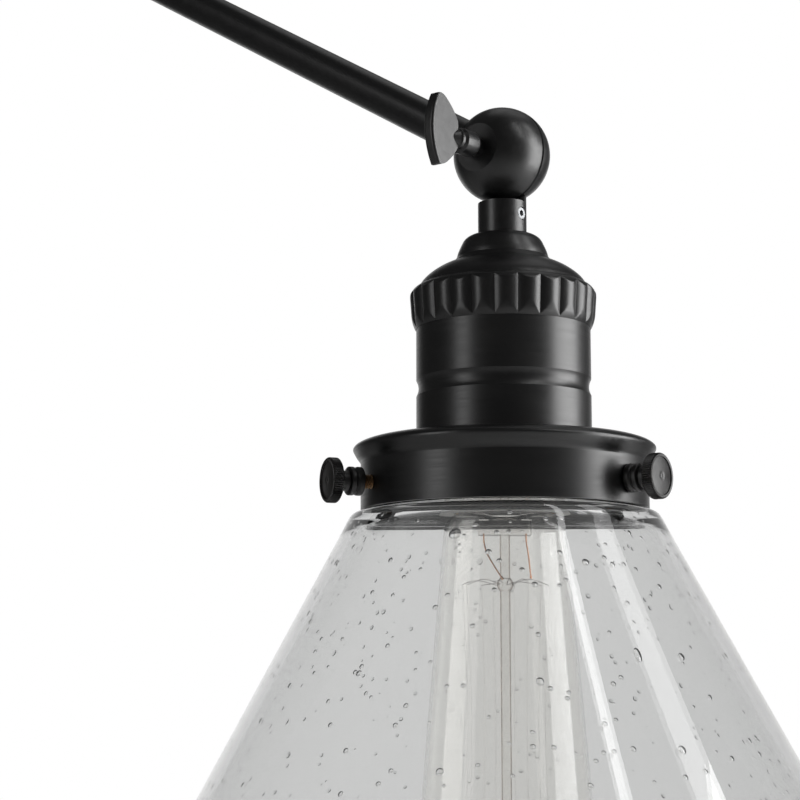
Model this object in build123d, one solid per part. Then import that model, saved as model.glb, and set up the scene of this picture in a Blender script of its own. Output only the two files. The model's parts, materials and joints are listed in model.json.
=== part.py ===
from build123d import *
import math
import os

os.makedirs("parts", exist_ok=True)

# Hanging pendant wall sconce. Millimetres, +Z up. The origin is the middle of the wall plate's back face,
# the wall is the plane Y = 0 and the lamp stands out towards -Y.

# Fits
running_gap = 0.05  # radial, a pin or a screw in its bore
seat_gap = 0.02  # radial, pieces of one body pushed into each other
clear_gap = 0.3  # between curved faces of different bodies
split_bevel = 0.45  # bevel on the edges of a swivel's split
edge_break = 0.4  # small chamfer on a turned edge

# Arm
arm_rise = 30.9  # degrees, the arm climbs towards the wall
arm_length = 340.0  # between the two swivel centres
arm_r = 5.0
arm_wall = 1.0
arm_inset = 7.4  # the tube's end from the swivel centre
lead_r = 0.9
lead_spread = 1.6  # each lead from the middle of its bore

# Swivels
ball_r = 12.7
split_x = 0.9  # split plane, towards the half that carries the neck
arm_shift = 4.6  # the arm's axis from the swivel's middle plane
flat_x = 11.0  # flat under the wing screw
neck_r = 6.35
hinge_pin_r = 2.0
hinge_pin_end = 9.4
hinge_bore_end = 10.4
pocket_in_r = 4.2  # ring-shaped wire pocket round the hinge pin
pocket_out_r = 7.8
pocket_depth = 4.0
lead_bore_r = 2.9

# Wing screws, X values are distances from the swivel centre
leaf_thick = 2.9
leaf_half_height = 9.1
leaf_lift = 1.0  # the leaf's middle above the screw's axis
leaf_outer = 31.4
leaf_tip = 28.9
leaf_root = 20.8
leaf_root_half = 3.2
leaf_bulge = ((0.3, 0.98), (0.5, 0.86), (0.76, 0.65), (0.93, 0.45))  # shares of the way to the root, of its height
leaf_round = 0.7
hub_shank_r = 2.5
hub_tip_r = 1.1  # where the hub runs out inside the leaf
hub_sink = 2.6
hub_ring_r = 3.05
hub_ring_out = 20.9
hub_ring_in = 19.8
hub_neck_r = 2.75
hub_barrel_r = 3.35
hub_barrel_out = 19.3
hub_barrel_in = 13.3
hub_barrel_edge = 0.7

# Wall end, heights out from the wall
wall_stand = 10.3  # neck between the plate and the ball
plate_r = 57.15
plate_depth = 20.0
plate_step_r = 21.0
plate_step_taper = 1.0
plate_step_depth = 23.0
plate_wall = 1.4
plate_edge = 6.0
strap_length = 106.0
strap_width = 18.0
strap_thick = 2.0
slot_spacing = 84.0
slot_length = 12.0
slot_r = 2.3
stud_spacing = 56.0
stud_r = 2.0
stud_end = 25.5
cap_nut_r = 4.6
cap_nut_height = 4.0
ground_x = 14.0
ground_r = 1.9
ground_head_r = 3.7
ground_head = 2.4
ground_slot = 0.9
ground_slot_depth = 0.8

# Threaded tubes
nipple_r = 4.85
nipple_bore_r = 3.6
nipple_grip = 8.0  # length inside a neck
nipple_tail = 8.0  # length past the plate or cap
nut_across = 14.0
nut_thick = 4.5

# Cap, ring and barrel, heights from the fitter's bottom rim
ball_stand = 9.0  # neck between the cap and the ball
cap_top = 72.0
cap_crown_r = 7.2
cap_foot_r = 12.0  # foot of the cap's upper step
cap_foot = 66.0
cap_fillet_r = 13.0  # where the fillet under the step meets the dome
cap_fillet = 64.8
cap_rim_r = 21.8
cap_base = 58.4
cap_wall = 1.2
crown_curve = ((0.12, 0.32), (0.25, 0.55), (0.4, 0.77), (0.63, 0.92))  # shares of the way, outwards then up
dome_curve = ((0.14, 0.28), (0.31, 0.49), (0.52, 0.69), (0.74, 0.85))
ring_base = 47.0
ring_bore_r = 20.3
ring_foot_r = 22.7
ring_r = 24.2
ring_side = ((0.33, 0.08), (0.6, 0.18), (0.87, 0.37), (1.0, 0.63), (1.0, 0.79), (0.67, 0.87), (0.27, 0.93))
lobe_count = 25
lobe_rise = 0.84  # a lobe's crest above the grooves beside it
lobe_turn = 2.1  # degrees, middle of the first lobe
barrel_base = 18.0
barrel_r = 22.6
barrel_bore_r = 21.0
barrel_flange = 1.2
groove_z = 31.6
groove_half = 2.2
groove_depth = 0.6

# Fitter
fitter_r = 36.9
fitter_sheet = 1.2
fitter_hole_r = 18.0
fitter_flat_in = 6.9  # edge of the flat top, inside the band
lip_out = 1.95  # overhang of the lip past the band
lip_z = 15.6
lip_low = 11.8
lip_top = ((0.5, 0.1), (0.78, 0.36), (0.93, 0.65))  # shares of the way from the flat to the lip
lip_under = ((0.2, 0.29), (0.5, 0.56), (0.88, 0.82))  # shares of the way from the lip to the band

# Set screw in the neck
set_screw_r = 1.5
set_screw_sunk = 0.15
set_socket_across = 1.5
set_socket_depth = 1.1
set_screw_angle = 270.0
set_screw_drop = 16.4  # below the swivel centre
sink_r = 1.95
sink_depth = 0.35

# Thumbscrews
thumb_z = 5.9
thumb_angles = (31.5, 151.5, 271.5)
thumb_out = (0.0, 2.3, 0.0)  # the second one is screwed out
thumb_thread_r = 1.85
thumb_tip_gap = 0.3  # tip to the shade's neck when screwed home
thumb_collar_gap = 0.3  # collar to the fitter when screwed home
thumb_collar_long = 3.6
thumb_waist_long = 2.7
thumb_head_long = 2.8
thumb_collar_r = 3.6
thumb_collar_notch_r = 3.1
thumb_notch = 0.4
thumb_waist_r = 2.65
thumb_head_r = 5.65
thumb_rim = 0.9  # width of the raised rim round the face
thumb_rim_step = 0.35

# Socket
core_r = 17.5
core_seat_r = 20.6
core_mouth = 5.0
core_top = 44.0
screw_shell_r = 13.8
screw_shell_wall = 0.4
screw_shell_sunk = 1.0
core_floor = 30.0
holder_ring_r = 23.5
holder_ring_thick = 3.0
contact_width = 6.0
contact_length = 16.0
contact_thick = 0.6
contact_r = 2.3
contact_gap = 0.1
socket_lead_x = 7.0

# Bulb, its middle line is the lamp's axis
bulb_r = 22.6
bulb_low = -113.2
bulb_wall = 0.8
bulb_neck_r = 12.0
bulb_neck_top = 8.5
bulb_neck_low = 5.0
bulb_shoulder = ((13.7, 3.0), (14.8, -0.5), (15.6, -6.0))
bulb_body = (
    (0.76, 0.21),
    (0.855, 0.425),
    (0.945, 0.645),
    (1.0, 0.813),
    (0.938, 0.905),
    (0.708, 0.965),
    (0.354, 0.993),
)  # shares of the bulb's radius and length
bulb_turn = 310.0
bulb_cap_crest_r = 13.1
bulb_cap_root_r = 12.4
bulb_cap_wall = 0.4
bulb_cap_low = 5.2
bulb_cap_high = 23.2
thread_start = 2.0  # plain length below the thread
thread_end = 1.0
thread_turns = 5
insulator_r = 9.0
insulator_low = 22.0
insulator_high = 27.2
insulator_land = 1.0
tip_r = 4.6
tip_high = 28.2
stem_flare_r = 10.0
stem_flare_z = 8.0
stem_flare_low = 6.6
stem_cup_r = 3.0
stem_cup_z = 3.0
stem_foot_r = 4.4
press_width = 13.4
press_thick = 4.4
press_top = -0.6
press_low = -7.4
rod_r = 1.3
rod_low = -96.0
button_r = 2.1
button_z = -19.5
bulb_lead_r = 0.45
bulb_lead_x = 5.4
anchor_r = 0.22
anchor_reach = 11.0
anchor_count = 8
low_anchor_z = -92.0
filament_r = 0.15
filament_in = 0.6  # from the anchors' tips

# Shade
glass = 3.0
shade_gap = 0.6  # radial, bead to the fitter's inside
shade_bead = 1.8  # the bead stands out this far from the neck
shade_bead_low = 8.8
shade_top = 13.2
shade_neck_low = 1.6
shade_shoulder_out = 6.4  # shoulder past the neck
shade_shoulder_z = -2.0
shade_inner_drop = 4.6  # the inner shoulder below the outer one
shade_mouth_r = 100.0
shade_low = -114.0
shade_edge = 0.8  # rounding of the mouth's edge
shoulder_curve = ((0.11, 0.42), (0.36, 0.58), (0.77, 0.68))  # shares of the way from the neck, out then down
inner_curve = ((0.4, 0.35), (0.73, 0.6))

rise = math.radians(arm_rise)
wall_reach = plate_step_depth + wall_stand + ball_r
ball_height = cap_top + ball_stand + ball_r
fitter_flat_r = fitter_r - fitter_flat_in
lip_r = fitter_r + lip_out
shade_bead_r = fitter_r - fitter_sheet - shade_gap
shade_neck_r = shade_bead_r - shade_bead
shade_shoulder_r = shade_neck_r + shade_shoulder_out
thumb_tip = shade_neck_r + thumb_tip_gap
thumb_collar = fitter_r + thumb_collar_gap
thumb_waist = thumb_collar + thumb_collar_long
thumb_head = thumb_waist + thumb_waist_long
thumb_end = thumb_head + thumb_head_long
wall_centre = Vector(0, -wall_reach, 0)
lamp_centre = wall_centre + Vector(0, -math.cos(rise), -math.sin(rise)) * arm_length
rim_height = lamp_centre.Z - ball_height
at_wall = Location((0, 0, 0), (90, 0, 0))  # local +Z runs out from the wall
at_wall_swivel = Location(wall_centre)
at_lamp_swivel = Location(lamp_centre)
at_arm = Location(lamp_centre, (arm_rise - 90, 0, 0))  # local +Z runs up the arm
at_head = Location((0, lamp_centre.Y, rim_height))


def rod(radius, low, high, x=0.0, y=0.0):
    """Upright round bar."""
    return Pos(x, y, (low + high) / 2) * Cylinder(radius, high - low)


def bar_x(radius, start, end):
    """Round bar along X through the origin's line."""
    return Pos((start + end) / 2, 0, 0) * Rot(0, 90, 0) * Cylinder(radius, end - start)


def hexagon(across, low, high):
    """Upright six-sided block."""
    prism = extrude(RegularPolygon(across / math.sqrt(3), 6), high - low)
    return Pos(0, 0, low) * prism


def turned(*edges):
    """Solid turned about Z from edges that close an outline of (radius, 0, height) points."""
    return revolve(make_face(Wire(list(edges))), Axis.Z)


def path(*points):
    """Straight edges through (radius, height) points."""
    return Polyline(*[(r, 0, z) for r, z in points]).edges()


def curve(*points):
    """Smooth edge through (radius, height) points."""
    return Spline(*[(r, 0, z) for r, z in points]).edges()


def turned_path(*points):
    """Solid turned about Z from straight edges."""
    return turned(*path(*points, points[0]))


def between(start, end, shares):
    """Points from start to end, each at its shares of the way across and up."""
    across = end[0] - start[0]
    up = end[1] - start[1]
    middle = [(start[0] + a * across, start[1] + b * up) for a, b in shares]
    return [start, *middle, end]


def inset(points, depth):
    """The same outline moved to its right by depth."""
    moved = []
    for index, (r, z) in enumerate(points):
        r0, z0 = points[max(index - 1, 0)]
        r1, z1 = points[min(index + 1, len(points) - 1)]
        reach = math.hypot(r1 - r0, z1 - z0)
        moved.append((r + depth * (z1 - z0) / reach, z - depth * (r1 - r0) / reach))
    return moved


def save(node, shape, place):
    """Write one named piece at its place."""
    solids = (place * shape).solids()
    body = solids[0] if len(solids) == 1 else Compound(children=list(solids))
    body.label = node
    export_step(body, f"parts/{node}.step")


def ball_slice(radius, x_from, x_to):
    """Part of a ball between two X values."""

    def edge_point(x):
        return (math.sqrt(max(radius**2 - x**2, 0)), 0, x)

    middle = edge_point((x_from + x_to) / 2)
    arc = ThreePointArc(edge_point(x_from), middle, edge_point(x_to))
    low = path((0, x_from), (edge_point(x_from)[0], x_from))
    high = path((edge_point(x_to)[0], x_to), (0, x_to)) if x_to < radius else []
    return Rot(0, 90, 0) * turned(*low, *arc.edges(), *high, *path((0, x_to), (0, x_from)))


def split_groove():
    """Ring that bevels both edges of the split."""
    ring = turned_path(
        (ball_r - split_bevel, split_x),
        (ball_r + split_bevel, split_x + 2 * split_bevel),
        (ball_r + split_bevel, split_x - 2 * split_bevel),
    )
    return Rot(0, 90, 0) * ring


def wire_pocket(x_from, x_to):
    """Ring-shaped room round the hinge pin."""
    return bar_x(pocket_out_r, x_from, x_to) - bar_x(pocket_in_r, x_from, x_to)


def arm_half():
    """Swivel half that holds the arm tube, which leaves it along +Z."""
    half = ball_slice(ball_r, -flat_x, split_x)
    half -= bar_x(hinge_pin_r + clear_gap, -ball_r, ball_r)
    half -= wire_pocket(split_x - pocket_depth, split_x)
    half -= rod(arm_r + seat_gap, arm_inset, 2 * ball_r, x=-arm_shift)
    half -= rod(lead_bore_r, pocket_in_r + 1, arm_inset, x=-arm_shift)
    return half - split_groove()


def neck_half(neck_low):
    """Swivel half with its neck, which runs down to neck_low and is cut flat under the other half."""
    half = ball_slice(ball_r, split_x, ball_r)
    cut_top = -ball_r - clear_gap
    neck = rod(neck_r, neck_low, 0)
    neck -= Pos(split_x - ball_r, 0, cut_top + ball_r) * Box(2 * ball_r, 2 * ball_r, 2 * ball_r)
    half += neck
    wall_y = math.sqrt(neck_r**2 - split_x**2)
    for side in (-1, 1):
        edge = Pos(split_x, side * wall_y, cut_top + ball_r) * Rot(0, 0, 45)
        half -= edge * Box(split_bevel, split_bevel, 2 * ball_r)
    half -= bar_x(hinge_pin_r + running_gap, 0, hinge_bore_end)
    half -= wire_pocket(split_x, split_x + pocket_depth)
    half -= rod(nipple_r + seat_gap, neck_low, neck_low + nipple_grip)
    half -= rod(lead_bore_r, neck_low + nipple_grip, -pocket_in_r - 1, x=split_x + 1)
    return half - split_groove()


def wing_screw():
    """Wing screw along X with its pin through both halves."""
    pin = bar_x(hinge_pin_r, -flat_x, hinge_pin_end)
    hub = turned_path(
        (0, -leaf_root - hub_sink),
        (hub_tip_r, -leaf_root - hub_sink),
        (hub_ring_r - edge_break, -hub_ring_out),
        (hub_ring_r, -hub_ring_out + edge_break),
        (hub_ring_r, -hub_ring_in - edge_break),
        (hub_neck_r, -hub_ring_in),
        (hub_neck_r, -hub_barrel_out),
        (hub_barrel_r, -hub_barrel_out + hub_barrel_edge),
        (hub_barrel_r, -hub_barrel_in - hub_barrel_edge),
        (hub_barrel_r - hub_barrel_edge / 2, -hub_barrel_in),
        (hub_shank_r, -hub_barrel_in),
        (hub_shank_r, -flat_x),
        (0, -flat_x),
    )
    root = [(-leaf_root, leaf_root_half)]
    side = [(-leaf_tip + a * (leaf_tip - leaf_root), b * leaf_half_height) for a, b in leaf_bulge]
    top = (-leaf_tip, leaf_half_height)
    upper = [top, *side, *root]
    lower = [(x, -z) for x, z in reversed(upper)]
    outer = ThreePointArc((*lower[-1], 0), (-leaf_outer, 0, 0), (*top, 0))
    rim = [Spline(*[(x, z, 0) for x, z in line]).edge() for line in (upper, lower)]
    back = Line((*root[0], 0), (*lower[0], 0)).edge()
    leaf = extrude(make_face(Wire([outer.edge(), rim[0], back, rim[1]])), leaf_thick / 2, both=True)
    round_edges = [e for e in leaf.edges() if abs(e.center().X + leaf_outer) < leaf_outer - leaf_tip]
    leaf = fillet(round_edges, leaf_round)
    return pin + Rot(0, 90, 0) * hub + Pos(0, 0, leaf_lift) * Rot(90, 0, 0) * leaf


def nipple(low, high):
    """Hollow threaded tube."""
    return rod(nipple_r, low, high) - rod(nipple_bore_r, low, high)


def lock_nut(low):
    """Hexagon nut on a nipple."""
    high = low + nut_thick
    return hexagon(nut_across, low, high) - rod(nipple_r + seat_gap, low, high)


def lead_pair(low, high, x=0.0, spread=lead_spread):
    """Two wires side by side."""
    return [rod(lead_r, low, high, x=x, y=side * spread) for side in (-1, 1)]


def pair(shapes):
    """Several separate solids as one piece."""
    return Compound(children=[s.solid() for s in shapes])


# Wall end
plate_outline = turned(
    *path(
        (plate_r - plate_wall, 0),
        (plate_r, 0),
        (plate_r, plate_depth - plate_edge),
    ),
    *curve(*between((plate_r, plate_depth - plate_edge), (plate_r - plate_edge, plate_depth), [(0.3, 0.7)])),
    *path(
        (plate_r - plate_edge, plate_depth),
        (plate_step_r, plate_depth),
        (plate_step_r - plate_step_taper, plate_step_depth),
        (nipple_r + clear_gap, plate_step_depth),
        (nipple_r + clear_gap, plate_step_depth - plate_wall),
        (plate_step_r - plate_step_taper - plate_wall, plate_step_depth - plate_wall),
        (plate_step_r - plate_wall, plate_depth - plate_wall),
        (plate_r - plate_edge, plate_depth - plate_wall),
        (plate_r - plate_wall, plate_depth - plate_edge),
        (plate_r - plate_wall, 0),
    ),
)
for side in (-1, 1):
    hole_x = side * stud_spacing / 2
    plate_outline -= rod(stud_r + clear_gap, 0, plate_step_depth, x=hole_x)
save("wall_plate", plate_outline, at_wall)

strap = Pos(0, 0, strap_thick / 2) * Box(strap_length, strap_width, strap_thick)
strap -= rod(nipple_r, 0, strap_thick)
for side in (-1, 1):
    slot = extrude(SlotOverall(slot_length, 2 * slot_r), strap_thick)
    strap -= Pos(side * slot_spacing / 2, 0, 0) * slot
    strap -= rod(stud_r + seat_gap, 0, strap_thick, x=side * stud_spacing / 2)
strap -= rod(ground_r + seat_gap, 0, strap_thick, x=ground_x)
save("mounting_strap", strap, at_wall)

studs = [rod(stud_r, 0, stud_end, x=side * stud_spacing / 2) for side in (-1, 1)]
save("plate_studs", pair(studs), at_wall)

nut_shoulder = plate_depth + cap_nut_height
nut_bore_r = stud_r + seat_gap
dome_slant = cap_nut_r * math.sqrt(0.5)
nut_dome = ThreePointArc(
    (cap_nut_r, 0, nut_shoulder), (dome_slant, 0, nut_shoulder + dome_slant), (0, 0, nut_shoulder + cap_nut_r)
)
cap_nut = turned(
    *path((nut_bore_r, plate_depth), (cap_nut_r, plate_depth), (cap_nut_r, nut_shoulder)),
    *nut_dome.edges(),
    *path(
        (0, nut_shoulder + cap_nut_r),
        (0, stud_end + edge_break),
        (nut_bore_r, stud_end + edge_break),
        (nut_bore_r, plate_depth),
    ),
)
nut_places = [Pos(side * stud_spacing / 2, 0, 0) * cap_nut for side in (-1, 1)]
save("plate_cap_nuts", pair(nut_places), at_wall)

ground_top = strap_thick + ground_head
ground_screw = rod(ground_r, 0, strap_thick, x=ground_x)
ground_screw += rod(ground_head_r, strap_thick, ground_top, x=ground_x)
slot_cut = Pos(ground_x, 0, ground_top) * Box(2 * ground_head_r, ground_slot, 2 * ground_slot_depth)
save("ground_screw", ground_screw - slot_cut, at_wall)

wall_nipple_low = plate_step_depth - nipple_tail
wall_nipple_high = plate_step_depth + nipple_grip
save("wall_nipple", nipple(wall_nipple_low, wall_nipple_high), at_wall)
wall_nut_low = plate_step_depth - plate_wall - nut_thick
save("wall_lock_nut", lock_nut(wall_nut_low), at_wall)
save("wall_leads", pair(lead_pair(strap_thick + lead_r, wall_nipple_high)), at_wall)

# The wall swivel's neck points back at the wall
neck_turn = Rot(90, 0, 0)
wall_neck_low = plate_step_depth - wall_reach
save("wall_swivel_half", neck_turn * neck_half(wall_neck_low), at_wall_swivel)
save("wall_wing_screw", wing_screw(), at_wall_swivel)

# Arm, heights measured from the lamp's swivel centre along the arm
save("arm_lamp_half", arm_half(), at_arm)
upper_half = Pos(0, 0, arm_length) * mirror(arm_half(), Plane.XY)
save("arm_wall_half", upper_half, at_arm)
tube_low = arm_inset
tube_high = arm_length - arm_inset
tube = rod(arm_r, tube_low, tube_high, x=-arm_shift)
tube -= rod(arm_r - arm_wall, tube_low, tube_high, x=-arm_shift)
save("arm_tube", tube, at_arm)
save("arm_leads", pair(lead_pair(tube_low, tube_high, x=-arm_shift)), at_arm)

# Head swivel, heights from its centre
head_half = neck_half(cap_top - ball_height)
set_place = Rot(0, 0, set_screw_angle) * Pos(0, 0, -set_screw_drop) * Rot(0, 90, 0)
sink = Cone(set_screw_r, sink_r, 2 * sink_depth)
head_half -= set_place * rod(set_screw_r + seat_gap, 0, neck_r + sink_depth)
head_half -= set_place * Pos(0, 0, neck_r) * sink
save("head_swivel_half", head_half, at_lamp_swivel)
set_top = neck_r - set_screw_sunk
set_low = nipple_r + running_gap
set_screw = rod(set_screw_r, set_low, set_top)
set_screw -= hexagon(set_socket_across, set_top - set_socket_depth, neck_r)
save("neck_set_screw", set_place * set_screw, at_lamp_swivel)
save("head_wing_screw", wing_screw(), at_lamp_swivel)

# Head, heights measured from the fitter's bottom rim
head_nipple_low = cap_top - nipple_tail
save("head_nipple", nipple(head_nipple_low, cap_top + nipple_grip), at_head)
save("head_lock_nut", lock_nut(cap_top - cap_wall - nut_thick), at_head)

dome = between((cap_rim_r, cap_base), (cap_fillet_r, cap_fillet), dome_curve)
crown = between((cap_foot_r, cap_foot), (cap_crown_r, cap_top), crown_curve)
outside = [*dome, *crown]
inside = inset(outside, -cap_wall)
inside_dome = inside[1 : len(dome)]
inside_crown = inside[len(dome) + 1 : -1]
cap_bore_r = nipple_r + seat_gap
nut_seat_r = nut_across / math.sqrt(3) + clear_gap / 2
cap = turned(
    *path((cap_rim_r - cap_wall, cap_base), dome[0]),
    *curve(*dome),
    *path(dome[-1], crown[0]),
    *curve(*crown),
    *path(
        crown[-1],
        (cap_bore_r, cap_top),
        (cap_bore_r, cap_top - cap_wall),
        (nut_seat_r, cap_top - cap_wall),
        *reversed(inside_crown),
        *reversed(inside_dome),
        (cap_rim_r - cap_wall, cap_base),
    ),
)
save("socket_cap", cap, at_head)

side_points = between((ring_foot_r, ring_base), (ring_r, cap_base), ring_side)[:-1]
fluted_ring = turned(
    *path((ring_bore_r, cap_base), (ring_bore_r, ring_base), (ring_foot_r, ring_base)),
    *curve(*side_points, (cap_rim_r, cap_base)),
    *path((cap_rim_r, cap_base), (ring_bore_r, cap_base)),
)
groove_r = ring_r - lobe_rise
lobes = []
for index in range(lobe_count):
    middle = 360 * index / lobe_count
    half_lobe = 180 / lobe_count
    ends = [Vector(groove_r, 0).rotate(Axis.Z, middle + side * half_lobe) for side in (-1, 1)]
    crest = Vector(ring_r, 0).rotate(Axis.Z, middle)
    lobes.append(ThreePointArc(ends[0], crest, ends[1]).edge())
lobed_bar = Pos(0, 0, ring_base) * extrude(make_face(Wire(lobes)), cap_base - ring_base)
fluted_ring &= Rot(0, 0, lobe_turn) * lobed_bar
save("fluted_ring", fluted_ring, at_head)

barrel = turned(
    *path((barrel_bore_r, ring_base), (barrel_r, ring_base), (barrel_r, groove_z + groove_half)),
    *curve(
        (barrel_r, groove_z + groove_half),
        (barrel_r - groove_depth, groove_z),
        (barrel_r, groove_z - groove_half),
    ),
    *path(
        (barrel_r, groove_z - groove_half),
        (barrel_r, barrel_base),
        (fitter_hole_r, barrel_base),
        (fitter_hole_r, barrel_base + barrel_flange),
        (barrel_bore_r, barrel_base + barrel_flange),
        (barrel_bore_r, ring_base),
    ),
)
save("socket_shell", barrel, at_head)

core_seat = barrel_base + barrel_flange
core = rod(core_r, core_mouth, core_seat) + rod(core_seat_r, core_seat, core_top)
core -= rod(screw_shell_r + seat_gap, core_mouth, core_floor)
for side in (-1, 1):
    core -= rod(lead_r + clear_gap, core_floor, core_top, y=side * socket_lead_x)
save("socket_core", core, at_head)

shell_low = core_mouth + screw_shell_sunk
screw_shell = rod(screw_shell_r, shell_low, core_floor)
screw_shell -= rod(screw_shell_r - screw_shell_wall, shell_low, core_floor)
save("screw_shell", screw_shell, at_head)
contact = Pos(0, 0, core_floor - contact_thick / 2) * Box(contact_width, contact_length, contact_thick)
contact += rod(contact_r, tip_high + contact_gap, core_floor - contact_thick)
save("centre_contact", contact, at_head)

flange_low = barrel_base - fitter_sheet
holder_low = flange_low - holder_ring_thick
holder_ring = rod(holder_ring_r, holder_low, flange_low) - rod(core_r + seat_gap, holder_low, flange_low)
save("fitter_clamp_ring", holder_ring, at_head)

lead_joint = (core_top + head_nipple_low) / 2
socket_leads = lead_pair(core_floor, lead_joint, spread=socket_lead_x)
save("socket_leads", pair(socket_leads), at_head)
neck_leads = lead_pair(lead_joint, cap_top + nipple_grip)
save("neck_leads", pair(neck_leads), at_head)

flat_edge = (fitter_flat_r, barrel_base)
lip = (lip_r, lip_z)
over = between(flat_edge, lip, lip_top)
under = between(lip, (fitter_r, lip_low), lip_under)
inner_line = inset([*over, *under[1:]], fitter_sheet)
fitter = turned(
    *path((fitter_hole_r, flange_low), (fitter_hole_r, barrel_base), flat_edge),
    *curve(*over, *under[1:]),
    *path(under[-1], (fitter_r, 0), (fitter_r - fitter_sheet, 0), inner_line[-1]),
    *path(*reversed(inner_line)),
    *path(inner_line[0], (fitter_hole_r, flange_low)),
)
thumb_bore = Pos(0, 0, thumb_z) * bar_x(thumb_thread_r + running_gap, thumb_tip, lip_r)
for angle in thumb_angles:
    fitter -= Rot(0, 0, angle) * thumb_bore
save("fitter", fitter, at_head)

# Thumbscrew turned about its own axis, heights are distances from the lamp's axis
notch = (thumb_collar + thumb_waist) / 2
face_r = thumb_head_r - thumb_rim
dome_r = (face_r**2 + thumb_rim_step**2) / (2 * thumb_rim_step)
half_drop = dome_r - math.sqrt(dome_r**2 - (face_r / 2) ** 2)
thumb_face = ThreePointArc(
    (face_r, 0, thumb_end - thumb_rim_step),
    (face_r / 2, 0, thumb_end - half_drop),
    (0, 0, thumb_end),
)
thumb = turned(
    *path(
        (0, thumb_end),
        (0, thumb_tip),
        (thumb_thread_r - edge_break, thumb_tip),
        (thumb_thread_r, thumb_tip + edge_break),
        (thumb_thread_r, thumb_collar),
        (thumb_collar_r - edge_break, thumb_collar),
        (thumb_collar_r, thumb_collar + edge_break),
        (thumb_collar_r, notch - thumb_notch),
        (thumb_collar_notch_r, notch),
        (thumb_collar_r, notch + thumb_notch),
        (thumb_collar_r, thumb_waist - edge_break),
        (thumb_collar_r - edge_break, thumb_waist),
        (thumb_waist_r, thumb_waist),
        (thumb_waist_r, thumb_head),
        (thumb_head_r - edge_break, thumb_head),
        (thumb_head_r, thumb_head + edge_break),
        (thumb_head_r, thumb_end - edge_break),
        (thumb_head_r - edge_break, thumb_end),
        (face_r, thumb_end),
        (face_r, thumb_end - thumb_rim_step),
    ),
    *thumb_face.edges(),
)
for number, (angle, out) in enumerate(zip(thumb_angles, thumb_out), 1):
    place = Rot(0, 0, angle) * Pos(out, 0, thumb_z) * Rot(0, 90, 0)
    save(f"thumbscrew_{number}", place * thumb, at_head)

# Shade
cone_slope = (shade_mouth_r - shade_shoulder_r) / (shade_shoulder_z - shade_low)
side_glass = glass * math.sqrt(1 + cone_slope**2)
shoulder = (shade_shoulder_r, shade_shoulder_z)
inner_shoulder = (
    shade_shoulder_r + shade_inner_drop * cone_slope - side_glass,
    shade_shoulder_z - shade_inner_drop,
)
neck_bore_r = shade_neck_r - glass
inner_foot = (neck_bore_r, shade_neck_low - 1)
shade = turned(
    *path(
        inner_foot,
        (neck_bore_r, shade_top),
        (shade_bead_r, shade_top),
        (shade_bead_r, shade_bead_low),
        (shade_neck_r, shade_bead_low),
        (shade_neck_r, shade_neck_low),
    ),
    *curve(*between((shade_neck_r, shade_neck_low), shoulder, shoulder_curve)),
    *path(
        shoulder,
        (shade_mouth_r - shade_edge / 2, shade_low + shade_edge),
        (shade_mouth_r - shade_edge - shade_edge / 2, shade_low),
        (shade_mouth_r - side_glass + shade_edge / 2, shade_low),
        (shade_mouth_r - side_glass, shade_low + shade_edge),
        inner_shoulder,
    ),
    *curve(*between(inner_shoulder, inner_foot, [(1 - a, 1 - b) for a, b in reversed(inner_curve)])),
)
save("shade_glass", shade, at_head)

# Bulb
tapered = [(share_r * bulb_r, share_z * bulb_low) for share_r, share_z in bulb_body]
outer_line = [(bulb_neck_r, bulb_neck_low), *bulb_shoulder, *tapered, (0, bulb_low)]
inner_line = [(r - bulb_wall, z) for r, z in outer_line[: len(bulb_shoulder) + 4]]
lower_part = inset(outer_line, bulb_wall)[len(bulb_shoulder) + 4 : -1]
inner_line += [*lower_part, (0, bulb_low + bulb_wall)]
bulb = turned(
    *curve(*outer_line),
    *path(outer_line[-1], inner_line[-1]),
    *curve(*reversed(inner_line)),
    *path(
        inner_line[0],
        (bulb_neck_r - bulb_wall, bulb_neck_top),
        (bulb_neck_r, bulb_neck_top),
        outer_line[0],
    ),
)
save("bulb_glass", bulb, at_head)

thread_low = bulb_cap_low + thread_start
pitch = (bulb_cap_high - thread_end - thread_low) / thread_turns
thread_line = [(bulb_cap_root_r, bulb_cap_low), (bulb_cap_root_r, thread_low)]
for turn in range(thread_turns):
    low = thread_low + turn * pitch
    thread_line.append((bulb_cap_crest_r, low + 0.4 * pitch))
    thread_line.append((bulb_cap_crest_r, low + 0.6 * pitch))
    thread_line.append((bulb_cap_root_r, low + pitch))
cap_bore = bulb_cap_root_r - bulb_cap_wall + seat_gap
thread_line.append((insulator_r, bulb_cap_high))
thread_line.append((insulator_r, bulb_cap_high - bulb_cap_wall))
thread_line.append((cap_bore, bulb_cap_high - thread_end - bulb_cap_wall))
thread_line.append((cap_bore, bulb_cap_low))
save("bulb_cap", turned_path(*thread_line), at_head)

insulator_edge = insulator_r - seat_gap
insulator = turned_path(
    (tip_r, insulator_low),
    (insulator_edge, insulator_low),
    (insulator_edge, bulb_cap_high),
    (tip_r + insulator_land, insulator_high),
    (tip_r, insulator_high),
)
save("bulb_cap_insulator", insulator, at_head)
tip = rod(tip_r, insulator_high, tip_high) + rod(tip_r - seat_gap, insulator_low, insulator_high)
save("bulb_tip", tip, at_head)

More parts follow.
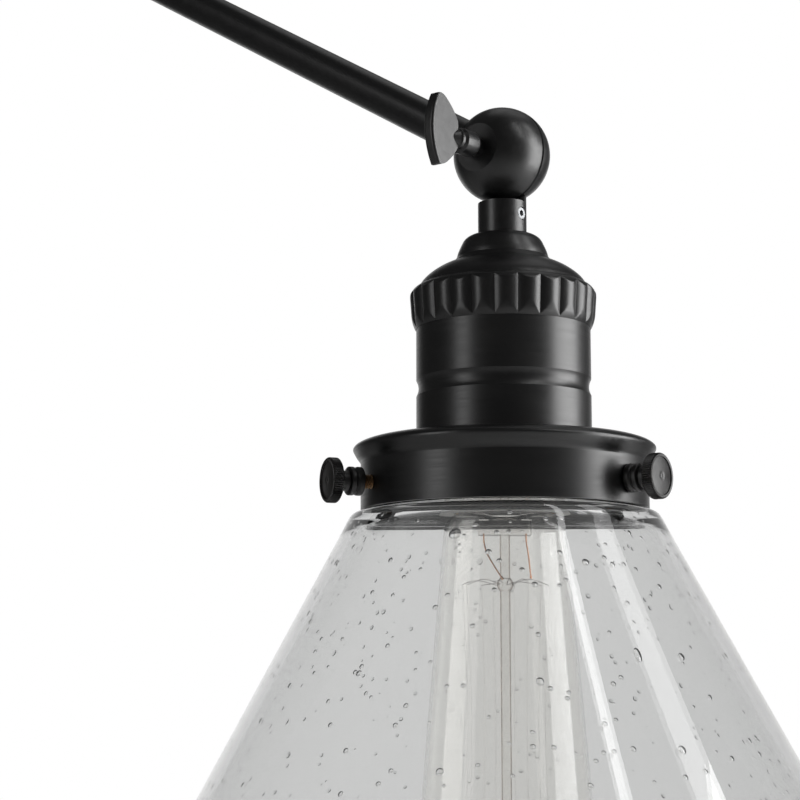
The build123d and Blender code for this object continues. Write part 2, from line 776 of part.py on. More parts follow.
flare_edge = bulb_neck_r - bulb_wall - seat_gap
stem = turned_path(
    (0, stem_cup_z),
    (stem_cup_r, stem_cup_z),
    (stem_flare_r, stem_flare_z),
    (flare_edge, stem_flare_z),
    (flare_edge, stem_flare_low),
    (stem_foot_r, press_top),
    (0, press_top),
)
stem += Pos(0, 0, (press_top + press_low) / 2) * Box(press_width, press_thick, press_top - press_low)
stem += rod(rod_r, rod_low, press_low)
for height in (button_z, low_anchor_z):
    stem += Pos(0, 0, height) * Sphere(button_r)
at_stem = Rot(0, 0, bulb_turn)
save("bulb_stem", at_stem * stem, at_head)


def strand(radius, start, end):
    """Straight wire between two points."""
    start = Vector(*start)
    end = Vector(*end)
    reach = end - start
    wire_plane = Plane(origin=(start + end) / 2, z_dir=reach)
    return wire_plane.location * Cylinder(radius, reach.length)


bulb_leads = []
for side in (-1, 1):
    foot = (side * bulb_lead_x, 0, press_low)
    bulb_leads.append(strand(bulb_lead_r, foot, (side * bulb_lead_x, 0, button_z + button_r)))
save("bulb_leads", at_stem * pair(bulb_leads), at_head)

anchors = []
strands = []
wire_step = anchor_r + filament_r
for index in range(anchor_count):
    turn = 2 * math.pi * (index + 0.5) / anchor_count
    out = Vector(math.cos(turn), math.sin(turn), 0)
    hang = out * (anchor_reach - filament_in)
    for height in (button_z, low_anchor_z):
        root = out * (button_r + seat_gap)
        end = out * anchor_reach
        anchors.append(strand(anchor_r, (root.X, root.Y, height), (end.X, end.Y, height)))
    wire_top = (hang.X, hang.Y, button_z - wire_step)
    wire_low = (hang.X, hang.Y, low_anchor_z + wire_step)
    strands.append(strand(filament_r, wire_top, wire_low))
save("bulb_supports", pair(anchors), at_head)
save("bulb_filament", pair(strands), at_head)
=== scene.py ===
import bpy
import bmesh
import json
import math
import random
from mathutils import Matrix, Vector


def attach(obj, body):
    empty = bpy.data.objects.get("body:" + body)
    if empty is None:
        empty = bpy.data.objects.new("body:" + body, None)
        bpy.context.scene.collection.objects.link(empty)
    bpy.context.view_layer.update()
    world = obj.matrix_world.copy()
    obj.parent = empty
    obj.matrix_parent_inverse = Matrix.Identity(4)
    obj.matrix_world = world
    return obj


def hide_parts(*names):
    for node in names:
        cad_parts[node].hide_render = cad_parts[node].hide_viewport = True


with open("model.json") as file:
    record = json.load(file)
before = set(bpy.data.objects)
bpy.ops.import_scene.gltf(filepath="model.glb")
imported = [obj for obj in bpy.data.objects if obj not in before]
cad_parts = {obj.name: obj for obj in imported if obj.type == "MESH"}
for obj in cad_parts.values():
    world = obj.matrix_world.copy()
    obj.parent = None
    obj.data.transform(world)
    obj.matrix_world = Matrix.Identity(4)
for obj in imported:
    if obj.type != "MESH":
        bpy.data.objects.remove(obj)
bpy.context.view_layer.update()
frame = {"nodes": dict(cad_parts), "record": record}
nodes = frame["nodes"]
slot_of = {row["node"]: row["material_slot"] for row in frame["record"]["subparts"]}
joints = {row["name"]: row for row in frame["record"]["behaviour"]["joints"]}

MM = 0.001

# Middle of the fitter's bottom rim, in metres, on the axis that the bulb turns about.
# Outlines below are in millimetres from it.
RIM = Vector(joints["bulb_turn"]["pos_m"])


# Camera: distances in metres from RIM, level ahead, to the side and down
VIEW_ANGLE = math.radians(39)
CAMERA_AWAY = 0.495
CAMERA_ASIDE = 0.0268
CAMERA_DROP = 0.0466
CAMERA_PITCH = math.radians(8.65)
LENS_MM = 87.2
SENSOR_MM = 36

ahead = Vector((math.cos(VIEW_ANGLE), math.sin(VIEW_ANGLE), 0))
aside = Vector((math.sin(VIEW_ANGLE), -math.cos(VIEW_ANGLE), 0))


def place_camera():
    look = ahead * math.cos(CAMERA_PITCH) + Vector((0, 0, math.sin(CAMERA_PITCH)))
    up = aside.cross(look)
    spot = RIM - ahead * CAMERA_AWAY - aside * CAMERA_ASIDE - Vector((0, 0, CAMERA_DROP))
    lens = bpy.data.cameras.new("camera")
    lens.lens = LENS_MM
    lens.sensor_width = SENSOR_MM
    lens.clip_start = 0.02
    lens.clip_end = 40
    camera = bpy.data.objects.new("camera", lens)
    bpy.context.scene.collection.objects.link(camera)
    camera.matrix_world = Matrix.Translation(spot) @ Matrix((aside, up, -look)).transposed().to_4x4()
    bpy.context.scene.camera = camera


place_camera()
bpy.context.scene.view_settings.view_transform = "Standard"


# Material helpers: scales are per metre and bump depths in metres
PATCH_SCALE = 90
GRAIN_SCALE = 300
TURNED_SCALE = 260
CAST_SCALE = 700
GRAIN_DEPTH = 0.00003
TURNING_MARKS = (0.25, 0.25, 14)


def node_tree(name):
    mat = bpy.data.materials.new(name)
    mat.use_nodes = True
    return mat, mat.node_tree, mat.node_tree.nodes["Principled BSDF"]


def grain(tree, scale, detail=5.0, stretch=(1, 1, 1)):
    coords = tree.nodes.new("ShaderNodeTexCoord")
    mapping = tree.nodes.new("ShaderNodeMapping")
    mapping.inputs["Scale"].default_value = stretch
    noise = tree.nodes.new("ShaderNodeTexNoise")
    noise.inputs["Scale"].default_value = scale
    noise.inputs["Detail"].default_value = detail
    tree.links.new(coords.outputs["Object"], mapping.inputs["Vector"])
    tree.links.new(mapping.outputs["Vector"], noise.inputs["Vector"])
    return noise.outputs["Fac"]


def ramp(tree, value, low, high, at_low=0.0, at_high=1.0):
    node = tree.nodes.new("ShaderNodeMapRange")
    node.inputs["From Min"].default_value = low
    node.inputs["From Max"].default_value = high
    node.inputs["To Min"].default_value = at_low
    node.inputs["To Max"].default_value = at_high
    tree.links.new(value, node.inputs["Value"])
    return node.outputs["Result"]


def mixed(tree, value, first, second):
    node = tree.nodes.new("ShaderNodeMix")
    node.data_type = "RGBA"
    node.inputs["A"].default_value = (*first, 1)
    node.inputs["B"].default_value = (*second, 1)
    tree.links.new(value, node.inputs["Factor"])
    return node.outputs["Result"]


def larger(tree, first, second):
    node = tree.nodes.new("ShaderNodeMath")
    node.operation = "MAXIMUM"
    tree.links.new(first, node.inputs[0])
    tree.links.new(second, node.inputs[1])
    return node.outputs["Value"]


def bump(tree, shader, height, strength, distance):
    node = tree.nodes.new("ShaderNodeBump")
    node.inputs["Strength"].default_value = strength
    node.inputs["Distance"].default_value = distance
    tree.links.new(height, node.inputs["Height"])
    tree.links.new(node.outputs["Normal"], shader.inputs["Normal"])


def grained(
    name,
    colour,
    worn,
    rough,
    swing=0.1,
    metallic=0.0,
    specular=0.5,
    scale=GRAIN_SCALE,
    stretch=(1, 1, 1),
    depth=GRAIN_DEPTH,
):
    """Metal, paint or ceramic: colour drifts to worn in patches, fine grain moves roughness and bump."""
    mat, tree, shader = node_tree(name)
    patches = ramp(tree, grain(tree, PATCH_SCALE, 3), 0.42, 0.72)
    fine = grain(tree, scale, 6, stretch)
    tree.links.new(mixed(tree, patches, colour, worn), shader.inputs["Base Color"])
    tree.links.new(ramp(tree, fine, 0.3, 0.7, rough - swing, rough + swing), shader.inputs["Roughness"])
    shader.inputs["Metallic"].default_value = metallic
    shader.inputs["Specular IOR Level"].default_value = specular
    bump(tree, shader, fine, 0.3, depth)
    return mat


def clear(name, colour):
    """Smooth glass."""
    mat, tree, shader = node_tree(name)
    shader.inputs["Base Color"].default_value = (*colour, 1)
    shader.inputs["Roughness"].default_value = 0.0
    shader.inputs["IOR"].default_value = 1.5
    shader.inputs["Transmission Weight"].default_value = 1.0
    return mat


def blown(name, colour, wave, inside, density):
    """Glass with a faint unevenness from its making, which takes up more light where it is thicker."""
    mat = clear(name, colour)
    tree = mat.node_tree
    bump(tree, tree.nodes["Principled BSDF"], grain(tree, 22, 2, (1, 1, 0.35)), 0.35, wave)
    volume = tree.nodes.new("ShaderNodeVolumeAbsorption")
    volume.inputs["Color"].default_value = (*inside, 1)
    volume.inputs["Density"].default_value = density
    tree.links.new(volume.outputs["Volume"], tree.nodes["Material Output"].inputs["Volume"])
    return mat


def edged(name, colour, painted_edge_reflection):
    """Glass rod whose edges are painted darker and browner than its middle: a painted reflection of dark
    surroundings, set by Layer Weight facing.
    """
    mat, tree, shader = node_tree(name)
    weight = tree.nodes.new("ShaderNodeLayerWeight")
    weight.inputs["Blend"].default_value = 0.5
    # painted reflection: towards the rod's grazing edges the colour turns dark brown
    edge = ramp(tree, weight.outputs["Facing"], 0.2, 0.65)
    tree.links.new(mixed(tree, edge, colour, painted_edge_reflection), shader.inputs["Base Color"])
    shader.inputs["Roughness"].default_value = 0.02
    shader.inputs["IOR"].default_value = 1.12
    shader.inputs["Transmission Weight"].default_value = 1.0
    bump(tree, shader, grain(tree, 400, 2, (1, 1, 0.2)), 0.2, 0.00004)
    return mat


# Materials, by the record's slots
BLACK = (0.0065, 0.0065, 0.007)
WORN = (0.011, 0.0108, 0.0105)
SCREW_BLACK = (0.014, 0.013, 0.013)
SCREW_WORN = (0.03, 0.027, 0.025)
materials = {
    "black_metal": grained("black metal", BLACK, WORN, 0.34, 0.05, 0.0, 1.0, TURNED_SCALE, TURNING_MARKS),
    "screw_black": grained("screw black", SCREW_BLACK, SCREW_WORN, 0.38, 0.08, specular=0.7),
    "zinc": grained("zinc", (0.36, 0.37, 0.38), (0.28, 0.28, 0.28), 0.42, metallic=1.0),
    "ground_green": grained("green", (0.05, 0.3, 0.1), (0.04, 0.22, 0.08), 0.35, metallic=0.7),
    "lead_jacket": grained("jacket", (0.03, 0.03, 0.03), (0.045, 0.045, 0.045), 0.6),
    "ceramic": grained("ceramic", (0.8, 0.79, 0.75), (0.74, 0.73, 0.69), 0.6),
    "brass": grained("brass", (0.72, 0.52, 0.25), (0.5, 0.33, 0.15), 0.3, metallic=1.0),
    "copper": grained("copper", (0.72, 0.40, 0.25), (0.5, 0.25, 0.14), 0.3, metallic=1.0),
    "nickel": grained("nickel", (0.7, 0.68, 0.64), (0.6, 0.58, 0.55), 0.25, 0.08, metallic=1.0),
    "solder": grained("solder", (0.55, 0.55, 0.55), (0.45, 0.45, 0.45), 0.4, metallic=1.0),
    "cap_insulator": grained("cap insulator", (0.01, 0.01, 0.012), (0.02, 0.02, 0.02), 0.12, 0.05),
    "shade_glass": blown("shade glass", (0.87, 0.872, 0.87), 0.00012, (0.4, 0.405, 0.4), 66),
    "bulb_glass": clear("bulb glass", (0.965, 0.96, 0.945)),
    "fine_wire": grained("fine wire", (0.3, 0.28, 0.27), (0.2, 0.19, 0.18), 0.35, 0.08, metallic=1.0),
}
bare_thread = grained("bare thread", (0.46, 0.30, 0.17), (0.24, 0.15, 0.09), 0.4, metallic=1.0)
# stem glass with its edges painted dark brown, a painted reflection
stem_glass = edged("stem glass", (0.95, 0.94, 0.92), (0.2, 0.13, 0.09))
cast_black = grained("cast black", BLACK, WORN, 0.34, 0.05, 0.0, 1.0, CAST_SCALE, depth=0.000008)
TURNED = ("socket_cap", "fluted_ring", "socket_shell", "fitter_clamp_ring", "fitter")


def finish_for(name):
    """The slot's material, but only turned parts have turning marks, and the stem's edges get a painted dark
    reflection.
    """
    if name == "bulb_stem":
        return stem_glass
    if slot_of[name] == "black_metal" and name not in TURNED:
        return cast_black
    return materials[slot_of[name]]


for name, obj in nodes.items():
    obj.data.materials.clear()
    obj.data.materials.append(finish_for(name))


# Mesh helpers
def piece(name, bm, body, node, sharp, extra=()):
    """Link a mesh that stands for a CAD node, and let it ride on that node's body."""
    mesh = bpy.data.meshes.new(name)
    bm.to_mesh(mesh)
    bm.free()
    mesh.shade_smooth()
    mesh.set_sharp_from_angle(angle=math.radians(sharp))
    obj = bpy.data.objects.new(name, mesh)
    bpy.context.scene.collection.objects.link(obj)
    mesh.materials.append(materials[slot_of[node]])
    for mat in extra:
        mesh.materials.append(mat)
    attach(obj, body)
    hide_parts(node)


def smooth(points, steps):
    """Catmull-Rom curve through points."""
    ends = [points[0], *points, points[-1]]
    line = []
    for i in range(len(points) - 1):
        around = ends[i : i + 4]
        for step in range(steps):
            t = step / steps
            line.append(tuple(along_curve(*values, t) for values in zip(*around)))
    line.append(points[-1])
    return line


def along_curve(p, q, r, s, t):
    """One coordinate between q and r, with p before them and s after."""
    return 0.5 * (2 * q + (r - p) * t + (2 * p - 5 * q + 4 * r - s) * t * t + (3 * q - p - 3 * r + s) * t**3)


def rounded(points, radius, steps=5):
    """Outline with its inner corners rounded."""
    line = [points[0]]
    for before, corner, after in zip(points, points[1:], points[2:]):
        corner = Vector(corner)
        first = Vector(before) - corner
        second = Vector(after) - corner
        cut = min(radius, first.length * 0.45, second.length * 0.45)
        start = corner + first.normalized() * cut
        end = corner + second.normalized() * cut
        for step in range(steps + 1):
            t = step / steps
            line.append(tuple(start * (1 - t) ** 2 + corner * (2 * t * (1 - t)) + end * t**2))
    line.append(points[-1])
    return line


def lathe(outline, steps, radius_at=None, turn=0.0, closed=False):
    """Turned mesh about Z from (radius, height) points; radius_at(radius, height, angle) reshapes it."""
    bm = bmesh.new()
    rings = []
    for r, z in outline:
        if r < 1e-4:
            rings.append([bm.verts.new((0, 0, z * MM))])
            continue
        ring = []
        for step in range(steps):
            a = turn + 2 * math.pi * step / steps
            reach = (radius_at(r, z, a) if radius_at else r) * MM
            ring.append(bm.verts.new((reach * math.cos(a), reach * math.sin(a), z * MM)))
        rings.append(ring)
    pairs = list(zip(rings, rings[1:]))
    if closed:
        pairs.append((rings[-1], rings[0]))
    for low, high in pairs:
        for step in range(steps):
            after = (step + 1) % steps
            inner_side = [low[step % len(low)], low[after % len(low)]]
            outer_side = [high[after % len(high)], high[step % len(high)]]
            corners = list(dict.fromkeys(inner_side + outer_side))
            if len(corners) > 2:
                bm.faces.new(corners)
    bmesh.ops.recalc_face_normals(bm, faces=bm.faces)
    return bm


def at_rim(bm):
    bmesh.ops.translate(bm, verts=bm.verts, vec=RIM)
    return bm


def soft_min(a, b, blend):
    h = max(0.0, min(1.0, 0.5 + 0.5 * (b - a) / blend))
    return b * (1 - h) + a * h - blend * h * (1 - h)


# Fluted ring: rounded lobes with sharp grooves between them, cut off by the ring's own rounded outline
LOBES = 25
LOBE_RISE = 0.78
LOBE_TURN = math.radians(2.1)
LOBE_STEPS = 20
CREST_R = 24.22
CREST_HIGH = 55.2  # below this height the crests lean inwards
CREST_LEAN = 0.073
RING_IN_R = 20.35
LOBES_OUT_OF = 21.0  # nearer the axis than this the ring is plain
ring_side = smooth(
    [
        (22.7, 47.0),
        (23.2, 47.91),
        (23.6, 49.05),
        (24.0, 51.22),
        (24.2, 54.18),
        (24.2, 56.01),
        (23.7, 56.92),
        (23.1, 57.6),
        (21.8, 58.4),
    ],
    8,
)
ring_outline = [(RING_IN_R, 58.3), (RING_IN_R, 47.05), (20.45, 47.0), *ring_side, (20.45, 58.4)]


def lobed(r, z, a):
    if r < LOBES_OUT_OF:
        return r
    across = ((a - LOBE_TURN) * LOBES / (2 * math.pi)) % 1.0
    share = min(across, 1 - across) * 2
    crest = CREST_R - CREST_LEAN * max(0.0, CREST_HIGH - z)
    return soft_min(r, crest - LOBE_RISE * share**2, 0.06)


ring_mesh = lathe(ring_outline, LOBES * LOBE_STEPS, lobed, LOBE_TURN, closed=True)
piece("ring_with_lobes", at_rim(ring_mesh), "head", "fluted_ring", sharp=24)

# Thumbscrews: heights are along the screw, from the fitter's axis outwards
KNURLS = 62
KNURL_DEPTH = 0.26
KNURLED = (43.6, 46.2)
THREAD_R = 1.85
THREAD_PITCH = 0.7
THREAD_DEPTH = 0.36
THREAD_FROM = 33.75
THREAD_ROWS = 40
COLLAR_FROM = 37.2
SCREW_HIGH = 5.9
FIRST_SCREW_ANGLE = 31.5
SCREWED_OUT = (0.0, 2.3, 0.0)

thread = [(THREAD_R, THREAD_FROM + THREAD_PITCH / 8 * row) for row in range(THREAD_ROWS)]
collar_corners = [
    (THREAD_R, COLLAR_FROM),
    (3.6, COLLAR_FROM),
    (3.6, 38.55),
    (3.15, 39.0),
    (3.6, 39.45),
    (3.6, 40.8),
    (2.65, 40.8),
]
collar = rounded(collar_corners, 0.4)
waist = smooth([(2.65, 40.95), (2.5, 42.2), (2.75, 43.3)], 4)
head_rim = [
    (4.4, 43.5),
    (5.2, 43.55),
    (5.45, 43.7),
    (5.65, 43.95),
    (5.65, 44.3),
    (5.65, 45.0),
    (5.65, 45.75),
    (5.65, 45.95),
    (5.5, 46.17),
    (5.3, 46.3),
    (4.85, 46.3),
]
head_face = [
    (4.75, 46.26),
    (4.68, 45.97),
    (4.3, 46.02),
    (3.4, 46.12),
    (2.4, 46.2),
    (1.5, 46.25),
    (0.85, 46.27),
    (0.7, 46.22),
    (0.5, 46.22),
    (0.35, 46.27),
    (0, 46.28),
]
screw_outline = [(0, 33.6), (1.45, 33.6), *thread, *collar[1:-1], *waist, *head_rim, *head_face]


def screw_shape(r, t, a):
    """Thread and knurls, by radius, height and angle."""
    if t < COLLAR_FROM:
        wave = ((t / THREAD_PITCH) - a / (2 * math.pi)) % 1.0
        return r - THREAD_DEPTH * abs(2 * wave - 1) if r > 1.8 else r
    if KNURLED[0] < t < KNURLED[1] and r > 5.0:
        tooth = (a * KNURLS / (2 * math.pi)) % 1.0
        return r - KNURL_DEPTH * abs(2 * tooth - 1)
    return r


for number, out in enumerate(SCREWED_OUT, 1):
    screw = lathe(screw_outline, KNURLS * 6, screw_shape)
    for face in screw.faces:
        face.material_index = 1 if face.calc_center_median().z < (COLLAR_FROM - 0.05) * MM else 0
    a = math.radians(FIRST_SCREW_ANGLE + (number - 1) * 120)
    axis = Vector((math.cos(a), math.sin(a), 0))
    turn = Matrix((Vector((0, 0, 1)).cross(axis), Vector((0, 0, 1)), axis)).transposed().to_4x4()
    place = Matrix.Translation(RIM + Vector((0, 0, SCREW_HIGH * MM)) + axis * out * MM) @ turn
    bmesh.ops.transform(screw, matrix=place, verts=screw.verts)
    bmesh.ops.recalc_face_normals(screw, faces=screw.faces)
    piece(f"knurled_screw_{number}", screw, f"screw_{number}", f"thumbscrew_{number}", 28, [bare_thread])

# Shade: blown wall with bubbles trapped in it
WALL = 3.0
SHADE_LOW = 114.0
SHADE_SIDES = 288
MOUTH_R = 100.0
SHOULDER_R = 39.7
SHOULDER_DROP = 2.0
SLOPE = (MOUTH_R - SHOULDER_R) / (SHADE_LOW - SHOULDER_DROP)
SLANT = math.sqrt(1 + SLOPE**2)
CONE_TOP_R = 41.85
CONE_TOP_DROP = 6.0
CONE_ROWS = (4, 12, 24, 38, 54, 70, 84, 96, 104)  # heights below the cone's top
shoulder_points = [
    (33.3, 1.6),
    (34.0, 0.09),
    (35.6, -0.49),
    (38.23, -0.85),
    (SHOULDER_R, -SHOULDER_DROP),
    (CONE_TOP_R, -CONE_TOP_DROP),
]
shoulder = smooth(shoulder_points, 6)
inner = smooth([(41.01, -10.76), (38.77, -6.6), (36.49, -3.72), (33.69, -1.92), (30.3, 0.6), (30.3, 3.0)], 6)
mouth = [
    (99.3, -112.7),
    (99.62, -113.35),
    (99.4, -113.8),
    (98.7, -114.0),
    (97.6, -113.95),
    (97.0, -113.6),
    (96.5, -112.9),
]
cone_out = [(CONE_TOP_R + SLOPE * below, -CONE_TOP_DROP - below) for below in CONE_ROWS]
cone_in = [(r - WALL * SLANT, z) for r, z in reversed(cone_out)]
bead = rounded([(30.3, 3.0), (30.3, 13.2), (35.1, 13.2), (35.1, 8.8), (33.3, 8.8), (33.3, 1.6)], 0.9)[1:-1]
shade_outline = [*shoulder[:-1], *cone_out, *mouth, *cone_in[:-1], *inner, *bead]
shade = lathe(shade_outline, SHADE_SIDES, closed=True)

BUBBLES = 680
BUBBLE_SEED = 17
BUBBLE_FLAT = 0.24  # a bubble's depth by its radius, they were pressed flat
BUBBLE_SKIN = 0.35  # glass left each side of the deepest one
BUBBLE_CLEAR = 0.25  # glass between any bubble and the wall's face
BUBBLE_RINGS = 8
BUBBLE_SIDES = 16
# On the side towards the camera: degrees to its right, drop, radius and stretch
LARGE_BUBBLES = (
    (-19, 9.5, 1.5, 1.05),
    (28, 38, 0.95, 2.0),
    (-8, 14, 0.75, 1.0),
    (4, 44, 0.9, 1.2),
    (31, 59, 1.0, 1.1),
)


def bubble_depth(size):
    return min(size * BUBBLE_FLAT, WALL / 2 - BUBBLE_SKIN)


def bubble(bm, angle, drop, sink, size, stretch):
    """Hollow in the wall, flat to it: drop is the height below the rim, sink the depth into the wall."""
    radius = SHOULDER_R + SLOPE * (drop - SHOULDER_DROP) - sink * SLANT
    tilt = math.atan(SLOPE)
    out = Vector((math.cos(angle) * math.cos(tilt), math.sin(angle) * math.cos(tilt), math.sin(tilt)))
    across = Vector((-math.sin(angle), math.cos(angle), 0))
    down = out.cross(across)
    middle = Vector((radius * math.cos(angle), radius * math.sin(angle), -drop)) * MM
    depth = bubble_depth(size)
    rows = []
    for i in range(BUBBLE_RINGS + 1):
        lat = math.pi * i / BUBBLE_RINGS
        row = []
        for j in range(1 if i in (0, BUBBLE_RINGS) else BUBBLE_SIDES):
            lon = 2 * math.pi * j / BUBBLE_SIDES
            x = math.sin(lat) * math.cos(lon) * size
            y = math.sin(lat) * math.sin(lon) * size * stretch
            row.append(bm.verts.new(middle + (across * x + down * y + out * math.cos(lat) * depth) * MM))
        rows.append(row)
    for low, high in zip(rows, rows[1:]):
        for j in range(BUBBLE_SIDES):
            after = (j + 1) % BUBBLE_SIDES
            near_side = [low[j % len(low)], high[j % len(high)]]
            far_side = [high[after % len(high)], low[after % len(low)]]
            corners = list(dict.fromkeys(near_side + far_side))
            if len(corners) > 2:
                face = bm.faces.new(corners)
                outwards = face.calc_center_median() - middle
                face.normal_update()
                if face.normal.dot(outwards) > 0:
                    face.normal_flip()


rng = random.Random(BUBBLE_SEED)
for index in range(BUBBLES):
    drop = 3.0 + 108.0 * rng.random() ** 1.25
    angle = rng.uniform(0, 2 * math.pi)
    size = rng.uniform(0.38, 0.68)
    if rng.random() < 0.3:
        size = rng.uniform(0.18, 0.34)
    if rng.random() < 0.05:
        size = rng.uniform(0.65, 0.95)
    least_sink = bubble_depth(size) + BUBBLE_CLEAR
    sink = rng.uniform(least_sink, WALL - least_sink)
    bubble(shade, angle, drop, sink, size, rng.uniform(1.0, 1.12))
facing_camera = math.atan2(-ahead.y, -ahead.x)
for degrees, drop, size, stretch in LARGE_BUBBLES:
    bubble(shade, facing_camera + math.radians(degrees), drop, WALL / 2, size, stretch)
piece("seeded_shade", at_rim(shade), "head", "shade_glass", sharp=40)

# Bulb: thin blown glass
BULB_WALL = 0.7
BULB_SIDES = 192
bulb_outer = smooth(
    [
        (12.0, 8.5),
        (12.0, 5.0),
        (13.7, 3.0),
        (14.8, -0.5),
        (15.6, -6.0),
        (17.18, -23.8),
        (19.32, -48.1),
        (21.36, -73.0),
        (22.6, -92.0),
        (21.2, -102.4),
        (16.0, -109.2),
        (8.0, -112.4),
        (0, -113.2),
    ],
    8,
)


def shrunk(line, depth):
    """Outline moved inwards by depth, with its last point kept on the axis."""
    moved = []
    for i, (r, z) in enumerate(line):
        r0, z0 = line[max(i - 1, 0)]
        r1, z1 = line[min(i + 1, len(line) - 1)]
        reach = math.hypot(r1 - r0, z1 - z0)
        moved.append((max(r + depth * (z1 - z0) / reach, 0), z - depth * (r1 - r0) / reach))
    moved[-1] = (0, line[-1][1] + depth)
    return moved


bulb = lathe([*shrunk(bulb_outer, BULB_WALL)[::-1], *bulb_outer], BULB_SIDES)
piece("bulb_envelope", at_rim(bulb), "bulb", "bulb_glass", sharp=60)


# Wires inside the bulb
LEAD_R = 0.2
LEAD_TIP_R = 0.34
ANCHORS = 8
ANCHOR_R = 0.075
ANCHOR_FROM = 1.6
ANCHOR_LONG = 9.6
ANCHOR_STEPS = 12
FILAMENT_R = 0.03
FILAMENT_BOW = 1.2
FILAMENT_STEPS = 30
PRESS_LOW = -7.4
BUTTON_Z = -19.5
LOW_ANCHOR_Z = -92.0
LEAD_TOP = PRESS_LOW + 0.4
# From the glass press down to the button's height: distances to the camera's right, towards it and up
LEAD_ROUTES = (
    [(-5.4, 0.0, LEAD_TOP), (-5.3, 0.0, -9.0), (-4.6, 0.3, -11.6), (-2.6, 1.0, -15.2), (-0.6, 1.6, -18.3)],
    [(5.4, 0.0, LEAD_TOP), (5.5, 0.0, -9.0), (6.0, -0.2, -12.0), (6.3, -0.2, -15.0), (6.6, 0.0, -18.0)],
)


def wire(bm, points, radius, sides):
    """Round wire through points in millimetres."""
    rings = []
    for i, point in enumerate(points):
        here = Vector(point)
        along = (Vector(points[min(i + 1, len(points) - 1)]) - Vector(points[max(i - 1, 0)])).normalized()
        side = along.orthogonal().normalized()
        other = along.cross(side)
        ring = []
        for j in range(sides):
            a = 2 * math.pi * j / sides
            ring.append(bm.verts.new(RIM + (here + (side * math.cos(a) + other * math.sin(a)) * radius) * MM))
        rings.append(ring)
    for low, high in zip(rings, rings[1:]):
        shift = min(range(sides), key=lambda k: (high[k].co - low[0].co).length)
        for j in range(sides):
            after = (j + 1) % sides
            bm.faces.new([low[j], low[after], high[(after + shift) % sides], high[(j + shift) % sides]])
    bm.faces.new(rings[0][::-1])
    bm.faces.new(rings[-1])


def wires_piece(name, bm, node):
    bmesh.ops.recalc_face_normals(bm, faces=bm.faces)
    piece(name, bm, "bulb", node, sharp=50)


def anchor_line(index, height, lift):
    """Wavy wire from the button out to the filament."""
    a = 2 * math.pi * (index + 0.5) / ANCHORS
    line = []
    for step in range(ANCHOR_STEPS + 1):
        t = step / ANCHOR_STEPS
        reach = ANCHOR_FROM + ANCHOR_LONG * t
        sway = 0.35 * math.sin(7 * t + index)
        z = height + lift * (0.9 * math.sin(math.pi * t) + 0.35 * math.sin(5 * t + 2 * index))
        line.append((reach * math.cos(a) - sway * math.sin(a), reach * math.sin(a) + sway * math.cos(a), z))
    return line


def filament_line(high, low):
    """Fine strand between two anchors' tips, bowed towards the rod."""
    high = Vector(high)
    low = Vector(low)
    out = Vector((high.x, high.y, 0)).normalized()
    line = []
    for step in range(FILAMENT_STEPS + 1):
        t = step / FILAMENT_STEPS
        line.append(tuple(high.lerp(low, t) - out * FILAMENT_BOW * math.sin(math.pi * t)))
    return line


lead_wires = bmesh.new()
for route in LEAD_ROUTES:
    line = []
    for across, near, z in smooth(route, 6):
        flat = aside * across - ahead * near
        line.append((flat.x, flat.y, z))
    wire(lead_wires, line, LEAD_R, 8)
    wire(lead_wires, line[-3:], LEAD_TIP_R, 8)
wires_piece("lead_in_wires", lead_wires, "bulb_leads")

supports = bmesh.new()
filament = bmesh.new()
for index in range(ANCHORS):
    high_line = anchor_line(index, BUTTON_Z, 1.0)
    low_line = anchor_line(index, LOW_ANCHOR_Z, -1.0)
    wire(supports, high_line, ANCHOR_R, 6)
    wire(supports, low_line, ANCHOR_R, 6)
    wire(filament, filament_line(high_line[-1], low_line[-1]), FILAMENT_R, 5)
wires_piece("anchor_wires", supports, "bulb_supports")
wires_piece("filament_strands", filament, "bulb_filament")


# Light
def panel(name, azimuth, elevation, distance, width, height, radiance):
    """Soft box round the lamp; azimuth is degrees to the right of the way back to the camera."""
    a = math.radians(azimuth)
    e = math.radians(elevation)
    way = (-ahead * math.cos(a) + aside * math.sin(a)) * math.cos(e) + Vector((0, 0, math.sin(e)))
    data = bpy.data.lights.new(name, "AREA")
    data.shape = "RECTANGLE"
    data.size = width
    data.size_y = height
    data.energy = radiance * math.pi * width * height
    obj = bpy.data.objects.new(name, data)
    obj.location = RIM + way * distance
    obj.rotation_euler = (-way).to_track_quat("-Z", "Y").to_euler()
    bpy.context.scene.collection.objects.link(obj)


panel("soft box right", 79, 6, 1.4, 0.62, 1.45, 4.4)
panel("soft box right back", 99, 4, 1.4, 0.40, 0.95, 4.4)
panel("soft strip right", 86, 42, 1.45, 0.27, 0.8, 2.3)
panel("soft box left", -57, 12, 1.6, 0.46, 1.5, 1.6)
panel("soft strip high", 50, 49, 1.5, 0.10, 0.9, 5.0)
panel("soft box behind", 160, 65, 1.5, 0.9, 0.9, 0.35)

# World: white where it is seen, and a room that is dim but for the white wall ahead
ROOM_DIM = 0.05
ROOM_WHITE = 1.0
WALL_EDGE = (0.78, 0.98)  # dot of a direction with ahead, where dim turns to white
SHARP_REFLECTION = 0.55  # share of the white that sharp reflections see


def white_background(tree):
    node = tree.nodes.new("ShaderNodeBackground")
    node.inputs["Color"].default_value = (1, 1, 1, 1)
    node.inputs["Strength"].default_value = 1.0
    return node


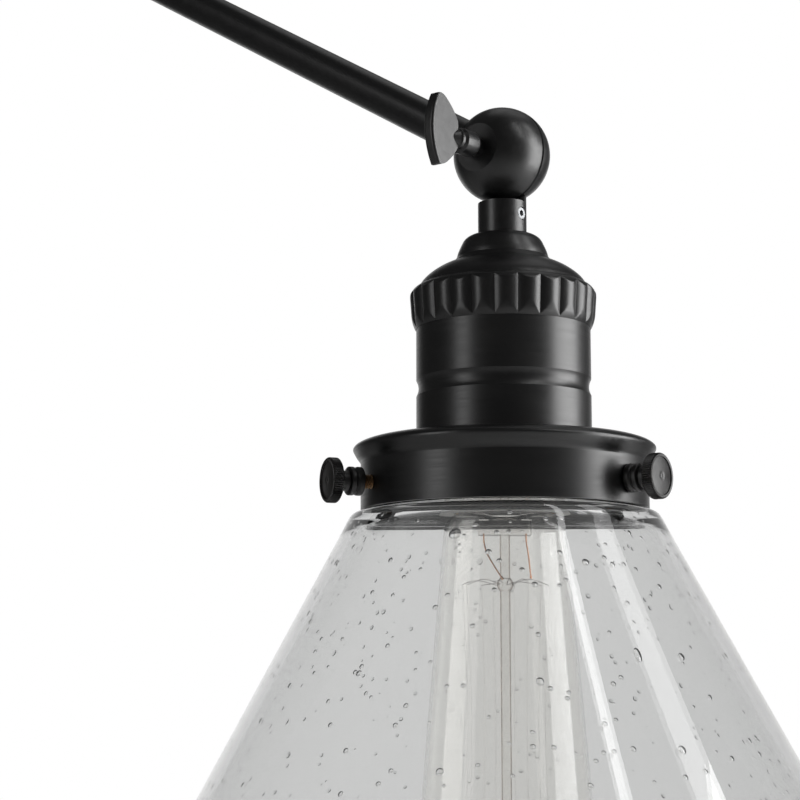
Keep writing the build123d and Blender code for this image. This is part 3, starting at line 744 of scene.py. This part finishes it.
def room_level(tree):
    coords = tree.nodes.new("ShaderNodeTexCoord")
    facing = tree.nodes.new("ShaderNodeVectorMath")
    facing.operation = "DOT_PRODUCT"
    facing.inputs[1].default_value = ahead
    tree.links.new(coords.outputs["Generated"], facing.inputs[0])
    level = tree.nodes.new("ShaderNodeMapRange")
    level.interpolation_type = "SMOOTHSTEP"
    level.inputs["From Min"].default_value = WALL_EDGE[0]
    level.inputs["From Max"].default_value = WALL_EDGE[1]
    level.inputs["To Min"].default_value = ROOM_DIM
    level.inputs["To Max"].default_value = ROOM_WHITE
    tree.links.new(facing.outputs["Value"], level.inputs["Value"])
    return level.outputs["Result"]


def white_share(tree):
    """1 for rays that show the background, a part for sharp reflections, 0 for the rest."""
    paths = tree.nodes.new("ShaderNodeLightPath")
    seen = larger(tree, paths.outputs["Is Camera Ray"], paths.outputs["Is Transmission Ray"])
    share = tree.nodes.new("ShaderNodeMath")
    share.operation = "MULTIPLY_ADD"
    share.inputs[1].default_value = SHARP_REFLECTION
    share.use_clamp = True
    tree.links.new(paths.outputs["Is Singular Ray"], share.inputs[0])
    tree.links.new(seen, share.inputs[2])
    return share.outputs["Value"]


def studio_world():
    world = bpy.data.worlds.new("studio")
    bpy.context.scene.world = world
    world.use_nodes = True
    tree = world.node_tree
    tree.nodes.clear()
    seen = white_background(tree)
    room = white_background(tree)
    tree.links.new(room_level(tree), room.inputs["Strength"])
    chooser = tree.nodes.new("ShaderNodeMixShader")
    tree.links.new(white_share(tree), chooser.inputs["Fac"])
    tree.links.new(room.outputs["Background"], chooser.inputs[1])
    tree.links.new(seen.outputs["Background"], chooser.inputs[2])
    surface = tree.nodes.new("ShaderNodeOutputWorld")
    tree.links.new(chooser.outputs["Shader"], surface.inputs["Surface"])


studio_world()

# Floor: lit as a pale surface, which keeps the shadow, with a glow only for the rays that show it
FLOOR_R = 4
FLOOR_Z = -0.8
FLOOR_SIDES = 96
FLOOR_GLOW = 0.55


def floor_paint():
    mat = grained("floor", (0.84, 0.84, 0.84), (0.8, 0.8, 0.8), 0.7, 0.05)
    tree = mat.node_tree
    shader = tree.nodes["Principled BSDF"]
    shader.inputs["Emission Color"].default_value = (1, 1, 1, 1)
    paths = tree.nodes.new("ShaderNodeLightPath")
    seen = larger(tree, paths.outputs["Is Camera Ray"], paths.outputs["Is Transmission Ray"])
    tree.links.new(ramp(tree, seen, 0, 1, 0.0, FLOOR_GLOW), shader.inputs["Emission Strength"])
    return mat


def studio_floor():
    ground = bmesh.new()
    edge = []
    for step in range(FLOOR_SIDES):
        a = 2 * math.pi * step / FLOOR_SIDES
        edge.append(ground.verts.new((FLOOR_R * math.cos(a), FLOOR_R * math.sin(a), FLOOR_Z)))
    ground.faces.new(edge)
    mesh = bpy.data.meshes.new("floor")
    ground.to_mesh(mesh)
    ground.free()
    mesh.materials.append(floor_paint())
    floor = bpy.data.objects.new("floor", mesh)
    bpy.context.scene.collection.objects.link(floor)


studio_floor()
